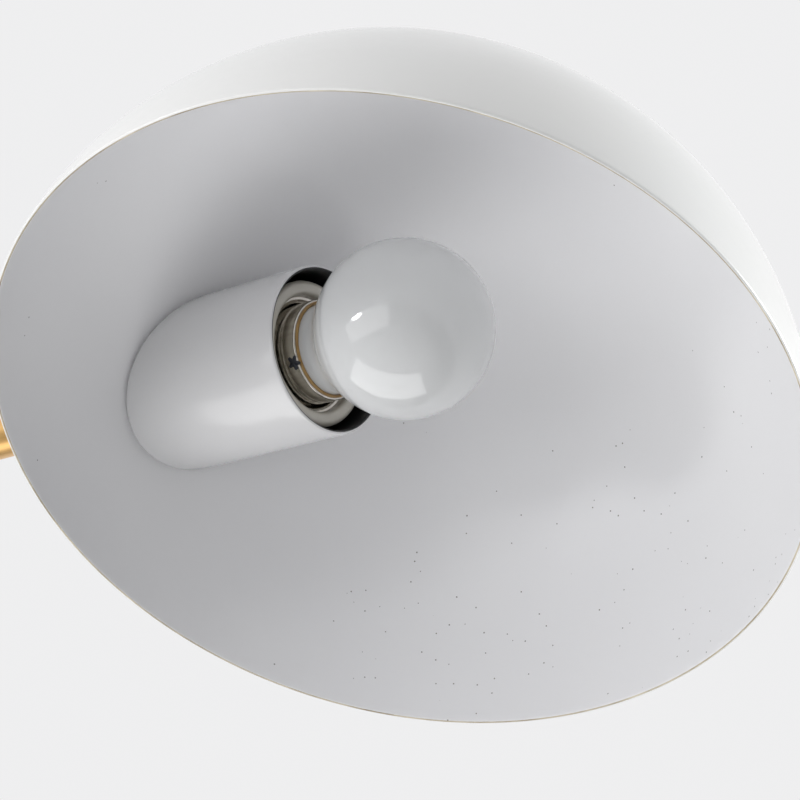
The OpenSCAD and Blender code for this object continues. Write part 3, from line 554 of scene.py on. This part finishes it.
# %% Shade
def make_shade():
    rim_angle = asin(RIM_UP / BALL_R)
    inner = BALL_R - SHADE_T
    low = rim_angle * 180 / pi
    outside = arc((0, 0), BALL_R, 90, low, 72)
    inside = arc((0, 0), inner, low, 90, 72)
    lip_at = ((BALL_R - SHADE_T / 2) * cos(rim_angle), (BALL_R - SHADE_T / 2) * sin(rim_angle))
    lip = arc(lip_at, SHADE_T / 2, low, low - 180, 8)[1:-1]
    piece = turned("shade_dome", outside + lip + inside, 192, closed=False)
    settle(piece, BALL_AT, (-LEAN, 0, 0))
    pipe_hole = turned("pipe_hole", [(0, 0), (SHEET_HOLE_R, 0), (SHEET_HOLE_R, 40 * MM), (0, 40 * MM)], 48)
    along_arm(pipe_hole, box_of("shade_collar")[1].y)
    cut(piece, pipe_hole)
    for finish in (ENAMEL_OUTSIDE, ENAMEL_INSIDE, RAW_EDGE):
        piece.data.materials.append(finish)
    up = Vector((0, sin(LEAN), cos(LEAN)))
    for face in piece.data.polygons:
        from_ball = face.center - BALL_AT
        below = from_ball.dot(up) < RIM_UP + 0.02 * MM
        depth = BALL_R - from_ball.length
        inward = depth > SHADE_T / 2
        bare = below and 0.45 * MM < depth < 0.8 * MM
        face.material_index = 2 if bare else (1 if inward else 0)
    return finished(piece, None, "shade_white", "shade_head", "shade", angle=60)


make_shade()

# %% [markdown]
# ## The socket cup
# A drawn cup hides the lampholder. Its closed end is pressed to the shade's curve, so it lies flat
# against the inside. It is turned with a flat end first, and then each ring of points is slid
# along the arm until the end lies on the shade's ball.

# %% Socket cup
cup_low, cup_high = box_of("socket_cup")
CUP_R = (cup_high.x - cup_low.x) / 2
CUP_T = 1.2 * MM
MOUTH_Y = cup_low.y


def on_ball(x, z, radius):
    """Y of a ball's wall side, seen along the arm at x and z."""
    return BALL_AT.y + sqrt(max(radius ** 2 - x ** 2 - (z - BALL_AT.z) ** 2, 0))


def make_cup():
    length = 40 * MM
    bend = 2.6 * MM
    outer_corner = arc((CUP_R - bend, bend), bend, -90, 0, 6)
    inner_corner = arc((CUP_R - bend, bend), bend - CUP_T, 0, -90, 6)
    lip = arc((CUP_R - CUP_T / 2, length - CUP_T / 2), CUP_T / 2, 0, 180, 6)
    hole_r = 5.4 * MM
    floor_rings = [(hole_r + (CUP_R - bend - hole_r) * i / 8, 0) for i in range(8)]
    inner_rings = [(r, CUP_T) for r, _ in reversed(floor_rings)]
    wall_out = [(CUP_R, bend + (length - CUP_T / 2 - bend) * i / 10) for i in range(1, 10)]
    wall_in = [(CUP_R - CUP_T, z) for _, z in reversed(wall_out)]
    outline = floor_rings + outer_corner + wall_out + lip + wall_in + inner_corner + inner_rings
    piece = turned("socket_cup_shell", outline, 128)
    along_arm(piece, MOUTH_Y + length)
    for vertex in piece.data.vertices:
        x, y, z = vertex.co
        up = (y - MOUTH_Y) / length
        back = on_ball(x, z, BALL_R - SHADE_T - FACE_GAP) - MOUTH_Y
        vertex.co.y = MOUTH_Y + up * back if up < 0.9 else y - length + back
    piece.data.materials.append(ENAMEL_CUP)
    piece.data.materials.append(CUP_INSIDE_PAINTED_SHADE)
    # Faces on the cup's inside get the near-black painted shade.
    for face in piece.data.polygons:
        away = Vector((face.center.x, 0, face.center.z))
        inside = away.length < CUP_R - CUP_T * 0.6 and face.normal.dot(away) < 0
        face.material_index = 1 if inside else 0
    return finished(piece, None, "cup_white", "shade_head", "socket_cup", angle=50)


make_cup()
print("cup radius", CUP_R, "mouth", MOUTH_Y)

# %% [markdown]
# ## The lampholder
# A glazed porcelain ring stands just inside the cup's mouth. Its front edge is well rounded, so
# the glaze gathers light there, and its well is deep enough for the screw shell.

# %% Porcelain lampholder
holder_low, holder_high = box_of("lampholder")
HOLDER_R = (holder_high.x - holder_low.x) / 2
WELL_R = 15.2 * MM
FRONT_Y = holder_low.y
TIP_Y = box_of("lamp_contact")[1].y


def make_lampholder():
    depth = holder_high.y - holder_low.y
    floor_z = depth - (TIP_Y - FRONT_Y) - 0.8 * MM
    land = HOLDER_R - 4.2 * MM
    front_round = 1.5 * MM
    outer = [(land, 0), (HOLDER_R, 3.6 * MM)]
    outer_edge = arc((HOLDER_R - front_round, depth - front_round), front_round, 0, 90, 8)
    inner_edge = arc((WELL_R + front_round, depth - front_round), front_round, 90, 180, 8)
    well = arc((WELL_R - 1 * MM, floor_z + 1 * MM), 1 * MM, 0, -90, 4)
    rivet_hole = 1.6 * MM
    rear_well = 10.8 * MM
    rear_z = floor_z - 3.4 * MM
    rear = [(rivet_hole, floor_z), (rivet_hole, rear_z), (rear_well, rear_z), (rear_well, 0)]
    piece = turned("lampholder_porcelain", outer + outer_edge + inner_edge + well + rear, 128)
    along_arm(piece, holder_high.y)
    return finished(piece, PORCELAIN, "porcelain", "shade_head", "lampholder", angle=50)


make_lampholder()

# %% [markdown]
# ## Screw shell and lamp base
# Both are thin plated brass with a round rolled thread. The thread is a true helix: the points of
# a plain tube are pushed in or out by a wave that climbs one pitch for each turn. The shell ends
# in a flared lip, and the base ends in a turned-in collar round the glass. A bead of cement fills
# the gap at the glass, and a small dark weld holds the lead to the collar.

# %% Threads
PITCH = 3.6 * MM
THREAD_DEEP = 0.9 * MM


def wave(x, z, along):
    """How far the thread is pushed in at a place round and along the axis, from 0 to 1."""
    turn = atan2(z, x) / (2 * pi)
    return (1 - cos(2 * pi * (along / PITCH - turn))) / 2


def cut_thread(piece, start_y, end_y, ease=1.5 * MM, deep=THREAD_DEEP):
    """Pushes a tube's points in along a helix between two places on the arm axis."""
    for vertex in piece.data.vertices:
        x, y, z = vertex.co
        radius = sqrt(x * x + z * z)
        inside = min(y - min(start_y, end_y), max(start_y, end_y) - y)
        if inside <= 0 or radius < 8 * MM:
            continue
        share = min(inside / ease, 1.0)
        scale = (radius - share * deep * wave(x, z, y)) / radius
        vertex.co.x = x * scale
        vertex.co.z = z * scale


def make_screw_shell():
    lip_y = FRONT_Y + 2.4 * MM
    floor_y = TIP_Y + 0.8 * MM
    depth = floor_y - lip_y
    inner = 13.45 * MM
    wall = 0.35 * MM
    rows = 44
    flare = 1.6 * MM
    outside = [(inner + wall, (depth - flare) * i / rows) for i in range(rows)]
    out_sweep = arc((inner + flare, depth - flare), flare - wall, 180, 90, 8)
    lip = arc((inner + flare, depth - wall / 2), wall / 2, -90, 90, 6)[1:]
    in_sweep = arc((inner + flare, depth - flare), flare, 90, 180, 8)[1:]
    inside = [(inner, (depth - flare) * (rows - 1 - i) / rows) for i in range(rows)]
    piece = turned("screw_shell_rolled", outside + out_sweep + lip + in_sweep + inside, 128)
    along_arm(piece, floor_y)
    cut_thread(piece, lip_y + 5 * MM, floor_y - 1 * MM, 4 * MM, -0.5 * MM)
    return finished(piece, NICKEL, "nickel", "shade_head", "screw_shell", angle=50)


def make_lamp_base():
    base_low, base_high = box_of("lamp_base")
    radius = (base_high.x - base_low.x) / 2
    depth = base_high.y - base_low.y
    wall = 0.4 * MM
    rows = 56
    outside = [(radius, depth * i / rows) for i in range(rows)]
    collar = arc((radius - 0.5 * MM, depth - 0.5 * MM), 0.5 * MM, 0, 90, 5)
    neck_hole = 12.0 * MM
    throat_z = depth - 3 * MM
    throat = [(neck_hole, depth), (neck_hole, depth - 2 * MM), (radius - THREAD_DEEP - wall, throat_z)]
    inside = [(radius - wall, throat_z * (rows - 1 - i) / rows) for i in range(rows - 1)]
    foot_hole = 9.2 * MM
    foot = [(foot_hole, 0.4 * MM), (foot_hole, 0)]
    piece = turned("lamp_base_threaded", outside + collar + throat + inside + foot, 128)
    along_arm(piece, base_high.y)
    cut_thread(piece, base_low.y + 4 * MM, base_high.y - 0.5 * MM)
    return finished(piece, NICKEL, "nickel", "shade_head", "lamp_base", angle=50)


def make_cement():
    base_low, _ = box_of("lamp_base")
    bead_ring = 12.15 * MM
    bead = 0.42 * MM
    outline = arc((bead_ring, 0), bead, 0, 330, 10)
    piece = turned("base_cement_bead", outline, 128)
    along_arm(piece, base_low.y - 0.1 * MM)
    return finished(piece, CEMENT, "nickel", "shade_head", angle=60)


def make_weld():
    """The spot where the lead is welded to the collar: a small dark, uneven pool of metal."""
    base_low, base_high = box_of("lamp_base")
    radius = (base_high.x - base_low.x) / 2
    place = radians(240)
    at = Vector((radius * cos(place), base_low.y + 1.3 * MM, radius * sin(place)))
    deselect()
    bpy.ops.mesh.primitive_uv_sphere_add(segments=32, ring_count=20, radius=1)
    piece = bpy.context.object
    piece.name = "lead_weld"
    piece.scale = (0.36 * MM, 1.6 * MM, 1.5 * MM)
    settle(piece)
    for vertex in piece.data.vertices:
        way = vertex.co.normalized()
        fingers = 0.32 * cos(5 * atan2(vertex.co.y, vertex.co.z) + 0.6)
        vertex.co *= 1 + fingers + 0.2 * noise.noise(way * 3.1)
    settle(piece, at, (0, -place, 0))
    return finished(piece, SOLDER, "nickel", "shade_head", angle=60)


make_screw_shell()
make_lamp_base()
make_cement()
make_weld()

# %% [markdown]
# ## The opal globe
# The lamp's glass is blown in one piece: a ball that flares into a short neck. The flare is an arc
# that touches both, and the wall is the same outline again, drawn a little smaller.

# %% Globe
globe_low, globe_high = box_of("lamp_globe")
GLOBE_R = (globe_high.x - globe_low.x) / 2
GLOBE_AT = Vector((0, globe_low.y + GLOBE_R, 0))


def globe_outline(shrink):
    """Outline from the ball's front round to the end of the neck; heights run towards the room."""
    radius = GLOBE_R - shrink
    neck = 11.8 * MM - shrink
    fillet = 6 * MM + shrink
    fillet_back = sqrt((radius + fillet) ** 2 - (neck + fillet) ** 2)
    touch = -acos((neck + fillet) / (radius + fillet)) * 180 / pi
    ball = arc((0, 0), radius, 90, touch, 60)
    flare = arc((neck + fillet, -fillet_back), fillet, 180 + touch, 180, 14)[1:]
    end = GLOBE_AT.y - globe_high.y
    return ball + flare + [(neck, end)]


def make_globe():
    outline = globe_outline(0) + list(reversed(globe_outline(0.8 * MM)))
    piece = turned("lamp_globe_opal", outline, 128, closed=False)
    along_arm(piece, GLOBE_AT.y)
    return finished(piece, OPAL, "opal_glass", "shade_head", "lamp_globe", angle=60)


make_globe()
print("globe radius", GLOBE_R, "at", [round(v, 4) for v in GLOBE_AT])

# %% [markdown]
# ## Arm tubes
# Plain drawn tube with its ends eased. What makes it look real is the brushing along its length.

# %% Arm tubes
def make_tube(name, node, body):
    low, high = box_of(node)
    radius = (high.x - low.x) / 2
    length = high.y - low.y
    ease = 0.25 * MM
    inner = radius - 1 * MM
    outline = [
        (inner, 0), (radius - ease, 0), (radius, ease), (radius, length / 2),
        (radius, length - ease), (radius - ease, length), (inner, length),
    ]
    piece = turned(name, outline, 64)
    along_arm(piece, high.y, middle(node).z)
    return finished(piece, BRASS_ALONG, "brass", body, node, angle=30)


make_tube("first_arm_tube_brass", "first_arm_tube", "first_arm")
make_tube("second_arm_tube_brass", "second_arm_tube", "second_arm")

# %% [markdown]
# ## Knuckles
# A knuckle is an upright barrel with a socket for a tube on its side. Barrel and socket are turned
# apart, joined, bored out, and the join is rounded off, as a caster would leave it.

# %% Knuckles
# The barrel's own sizes, which its box can't tell apart from its socket's.
BARREL_R = 11 * MM
BARREL_H = 18 * MM
CAVITY_R = 8.583 * MM
SOCKET_R = 8.05 * MM
BARREL_FLOOR = 3.2 * MM
TUBE_START = 10.5 * MM
CAST_ROUND = 0.35 * MM


def rod(name, radius, length, steps=64):
    return turned(name, [(0, 0), (radius, 0), (radius, length), (0, length)], steps, closed=False)


def barrel(name):
    ease = 0.8 * MM
    sides = [(0, 0), (BARREL_R - ease, 0)] + arc((BARREL_R - ease, ease), ease, -90, 0, 5)[1:]
    top = arc((BARREL_R - ease, BARREL_H - ease), ease, 0, 90, 5) + [(0, BARREL_H)]
    return turned(name, sides + top, 96, closed=False)


def upright(way_up):
    """The turn that stands a barrel on its floor, or hangs it from there."""
    return (0 if way_up > 0 else radians(180), 0, 0)


def nut_room(y, foot_z, way_up):
    """A tool for the room round a barrel's nut, which starts at the barrel's own floor."""
    at = (0, y, foot_z + way_up * BARREL_FLOOR)
    return settle(rod("cavity", CAVITY_R, BARREL_H), at, upright(way_up))


def pipe_way(y, foot_z, way_up):
    """A tool for the threaded pipe's hole through a barrel's floor."""
    at = (0, y, foot_z - way_up * 2 * MM)
    return settle(rod("pipe_hole", PIPE_HOLE_R, BARREL_H, 48), at, upright(way_up))


def make_knuckle(name, node, body, y, foot_z, way_up, way_out):
    """An upright barrel whose floor is at foot_z. way_up is 1 or -1, way_out is -1 to the room."""
    piece = settle(barrel(name), (0, y, foot_z), upright(way_up))
    axis_z = foot_z + way_up * BARREL_H / 2
    low, high = box_of(node)
    reach = abs((low.y if way_out < 0 else high.y) - y)
    turn_out = radians(90) if way_out < 0 else radians(-90)
    socket = settle(rod("socket", SOCKET_R, reach), (0, y, axis_z), (turn_out, 0, 0))
    cut(piece, socket, "UNION")
    cut(piece, nut_room(y, foot_z, way_up))
    tube_at = (0, y + way_out * TUBE_START, axis_z)
    cut(piece, settle(rod("bore", TUBE_HOLE_R, reach), tube_at, (turn_out, 0, 0)))
    cut(piece, settle(rod("wire_way", WIRE_WAY_R, reach), (0, y, axis_z), (turn_out, 0, 0)))
    cut(piece, pipe_way(y, foot_z, way_up))
    soften(piece, CAST_ROUND, 40)
    return finished(piece, BRASS_ROUND, "brass", body, node, angle=32)


first_foot = box_of("first_arm_knuckle")[0].z
upper_foot = box_of("elbow_upper_knuckle")[0].z
lower_foot = box_of("elbow_lower_knuckle")[1].z
make_knuckle("first_arm_knuckle_brass", "first_arm_knuckle", "first_arm", WALL_AXIS_Y, first_foot, 1, -1)
make_knuckle("elbow_upper_knuckle_brass", "elbow_upper_knuckle", "first_arm", ELBOW_Y, upper_foot, 1, 1)
make_knuckle("elbow_lower_knuckle_brass", "elbow_lower_knuckle", "second_arm", ELBOW_Y, lower_foot, -1, -1)

# %% [markdown]
# ## Barrel caps
# Each barrel's open end is closed by a shallow domed cap, pushed in. Seen close, a thin shadow
# line runs round its lip.

# %% Barrel caps
def make_cap(name, node, body, y, way_up):
    low, high = box_of(node)
    foot = low.z if way_up > 0 else high.z
    lip_r = (high.x - low.x) / 2
    rise = high.z - low.z
    dome_r = 26 * MM
    plug = 2 * MM
    edge = 0.3 * MM
    dome_mid = rise - dome_r
    lip_angle = acos((lip_r - edge) / dome_r) * 180 / pi
    dome = arc((0, dome_mid), dome_r, 90, lip_angle, 16)
    lip = [(lip_r, dome[-1][1] - edge), (lip_r, plug + 0.1 * MM), (lip_r - edge, plug)]
    plug_r = CAVITY_R - FACE_GAP
    push = [(plug_r, plug), (plug_r, edge), (plug_r - edge, 0), (0, 0)]
    piece = turned(name, dome + lip + push, 96, closed=False)
    settle(piece, (0, y, foot), upright(way_up))
    return finished(piece, BRASS_ROUND, "brass", body, node, angle=32)


make_cap("wall_knuckle_cap_brass", "wall_knuckle_cap", "wall_plate", WALL_AXIS_Y, -1)
make_cap("first_knuckle_cap_brass", "first_knuckle_cap", "first_arm", WALL_AXIS_Y, 1)
make_cap("elbow_upper_cap_brass", "elbow_upper_cap", "first_arm", ELBOW_Y, 1)
make_cap("elbow_lower_cap_brass", "elbow_lower_cap", "second_arm", ELBOW_Y, -1)

# %% [markdown]
# ## The wall knuckle
# This one has no tube: its neck widens into a small flange that covers the hole in the canopy.

# %% Wall knuckle
def make_wall_knuckle():
    low, high = box_of("wall_knuckle")
    foot_z = box_of("wall_pivot_washer")[0].z
    piece = settle(barrel("wall_knuckle_brass"), (0, WALL_AXIS_Y, foot_z), upright(-1))
    axis_z = foot_z - BARREL_H / 2
    length = high.y - WALL_AXIS_Y
    flange_r = (high.x - low.x) / 2
    sweep_r = 4 * MM
    sweep = arc((SOCKET_R + sweep_r, 7.2 * MM), sweep_r, 180, 270, 8)
    rim = [(flange_r - 0.6 * MM, 2.6 * MM), (flange_r, 2.0 * MM), (flange_r, 0), (0, 0)]
    neck = turned("neck", [(0, length), (SOCKET_R, length)] + sweep + rim, 96, closed=False)
    settle(neck, (0, high.y, axis_z), (radians(90), 0, 0))
    cut(piece, neck, "UNION")
    cut(piece, nut_room(WALL_AXIS_Y, foot_z, -1))
    cut(piece, pipe_way(WALL_AXIS_Y, foot_z, -1))
    cut(piece, along_arm(rod("bore", PIPE_HOLE_R, 12 * MM + 1 * MM, 48), high.y + 1 * MM, axis_z))
    cut(piece, along_arm(rod("wire_way", 3.5 * MM, length, 48), high.y, axis_z))
    soften(piece, CAST_ROUND, 40)
    return finished(piece, BRASS_ROUND, "brass", "wall_plate", "wall_knuckle", angle=32)


make_wall_knuckle()

# %% [markdown]
# ## The canopy
# A shallow dish, spun from sheet. Its rim is eased where it meets the wall, and its front edge is a
# full round. Two small ball nuts hold it to the mounting bar's studs.

# %% Canopy
canopy_low, canopy_high = box_of("canopy")
CANOPY_R = (canopy_high.x - canopy_low.x) / 2
CANOPY_DEEP = canopy_high.y - canopy_low.y


def make_canopy():
    edge = 6 * MM
    wall = 1 * MM
    front = arc((CANOPY_R - edge, CANOPY_DEEP - edge), edge, 0, 90, 12)
    back = arc((CANOPY_R - edge, CANOPY_DEEP - edge), edge - wall, 90, 0, 12)
    hole = SHEET_HOLE_R
    face = [(CANOPY_R - edge - (CANOPY_R - edge - hole) * i / 6, CANOPY_DEEP) for i in range(1, 7)]
    face_back = [(r, CANOPY_DEEP - wall) for r, _ in reversed(face)]
    ease = 0.3 * MM
    rim = [(CANOPY_R - wall, ease), (CANOPY_R - wall + ease, 0), (CANOPY_R - ease, 0), (CANOPY_R, ease)]
    piece = turned("canopy_dish", rim + front + face + face_back + back, 160)
    along_arm(piece, canopy_high.y)
    for side in (-1, 1):
        stud_x = side * box_of("canopy_studs")[1].x - side * 2 * MM
        stud_hole = along_arm(rod("stud_hole", 2.3 * MM, 20 * MM, 32), canopy_low.y + 10 * MM, 0, stud_x)
        cut(piece, stud_hole)
    return finished(piece, BRASS_FACE, "brass", "wall_plate", "canopy", angle=35)


def make_ball_nut(name, x):
    low, high = box_of("canopy_cap_nuts")
    height = high.y - low.y
    radius = (high.z - low.z) / 2
    waist = 0.4 * MM
    bore_r = 2.1 * MM
    bore_deep = 4.5 * MM
    skirt = [(bore_r, 0), (radius - waist, 0), (radius, waist), (radius, 2 * MM)]
    ball = arc((0, height - radius), radius, 0, 90, 14)
    bore = [(0, bore_deep), (bore_r, bore_deep)]
    piece = turned(name, skirt + ball + bore, 64)
    piece = along_arm(piece, high.y, 0, x)
    return finished(piece, BRASS_FACE, "brass", "wall_plate", "canopy_cap_nuts", angle=40)


make_canopy()
BALL_NUT_R = 5 * MM
nut_x = box_of("canopy_cap_nuts")[1].x - BALL_NUT_R
for side, word in ((-1, "left"), (1, "right")):
    make_ball_nut("canopy_ball_nut_" + word, side * nut_x)

# %% [markdown]
# ## The swivel at the shade
# The tube ends in a screwed plug, the plug closes a turned housing, and the housing turns against
# a collar that is cut to the dome. Fine grooves round the housing give the fingers a grip.

# %% Swivel housing, plug and collar
def make_housing():
    low, high = box_of("swivel_housing")
    radius = (high.x - low.x) / 2
    length = high.y - low.y
    ease = 0.6 * MM
    foot = [(CAVITY_R, 0), (radius - ease, 0)] + arc((radius - ease, ease), ease, -90, 0, 4)[1:]
    grip = []
    groove = 0.35 * MM
    for i in range(5):
        z = 4 * MM + i * 1.6 * MM
        grip += [(radius, z), (radius - groove, z + 0.4 * MM), (radius, z + 0.8 * MM)]
    nose = arc((radius - 0.8 * MM, length - 0.8 * MM), 0.8 * MM, 0, 90, 5)
    floor_z = length - 4 * MM
    inside = [(PIPE_HOLE_R, length), (PIPE_HOLE_R, floor_z), (CAVITY_R, floor_z)]
    piece = turned("swivel_housing_brass", foot + grip + nose + inside, 96)
    along_arm(piece, high.y)
    return finished(piece, BRASS_FACE, "brass", "second_arm", "swivel_housing", angle=32)


def make_plug():
    low, high = box_of("swivel_plug")
    length = high.y - low.y
    flange_r = (high.x - low.x) / 2
    ease = 0.4 * MM
    collar = length - 6 * MM
    top = collar + 2 * MM
    stop_z = length - 2 * MM
    plug_r = CAVITY_R - FACE_GAP
    socket = [(TUBE_HOLE_R, 0), (SOCKET_R - ease, 0), (SOCKET_R, ease)]
    sweep = arc((SOCKET_R + 1 * MM, collar - 1 * MM), 1 * MM, 180, 90, 4)
    flange = [(flange_r - ease, collar), (flange_r, collar + ease), (flange_r, top - ease)]
    flange += [(flange_r - ease, top), (plug_r, top)]
    inside = [(plug_r, length), (WIRE_WAY_R, length), (WIRE_WAY_R, stop_z), (TUBE_HOLE_R, stop_z)]
    piece = turned("swivel_plug_brass", socket + sweep + flange + inside, 96)
    along_arm(piece, high.y)
    return finished(piece, BRASS_FACE, "brass", "second_arm", "swivel_plug", angle=32)


def make_collar():
    low, high = box_of("shade_collar")
    radius = (high.x - low.x) / 2
    length = 16 * MM
    rows = 6
    ease = 0.5 * MM
    outside = [(radius - ease, 0), (radius, ease)]
    outside += [(radius, ease + (length - ease) * i / rows) for i in range(1, rows + 1)]
    inside = [(PIPE_HOLE_R, length), (PIPE_HOLE_R, 0)]
    piece = turned("shade_collar_brass", outside + inside, 96)
    along_arm(piece, high.y)
    face_y = high.y
    for vertex in piece.data.vertices:
        x, y, z = vertex.co
        seat = on_ball(x, z, BALL_R + FACE_GAP)
        share = (face_y - y) / length
        if share > 0.1:
            vertex.co.y = face_y - ease + (seat - face_y + ease) * (share * length - ease) / (length - ease)
    return finished(piece, BRASS_FACE, "brass", "shade_head", "shade_collar", angle=35)


make_housing()
make_plug()
make_collar()
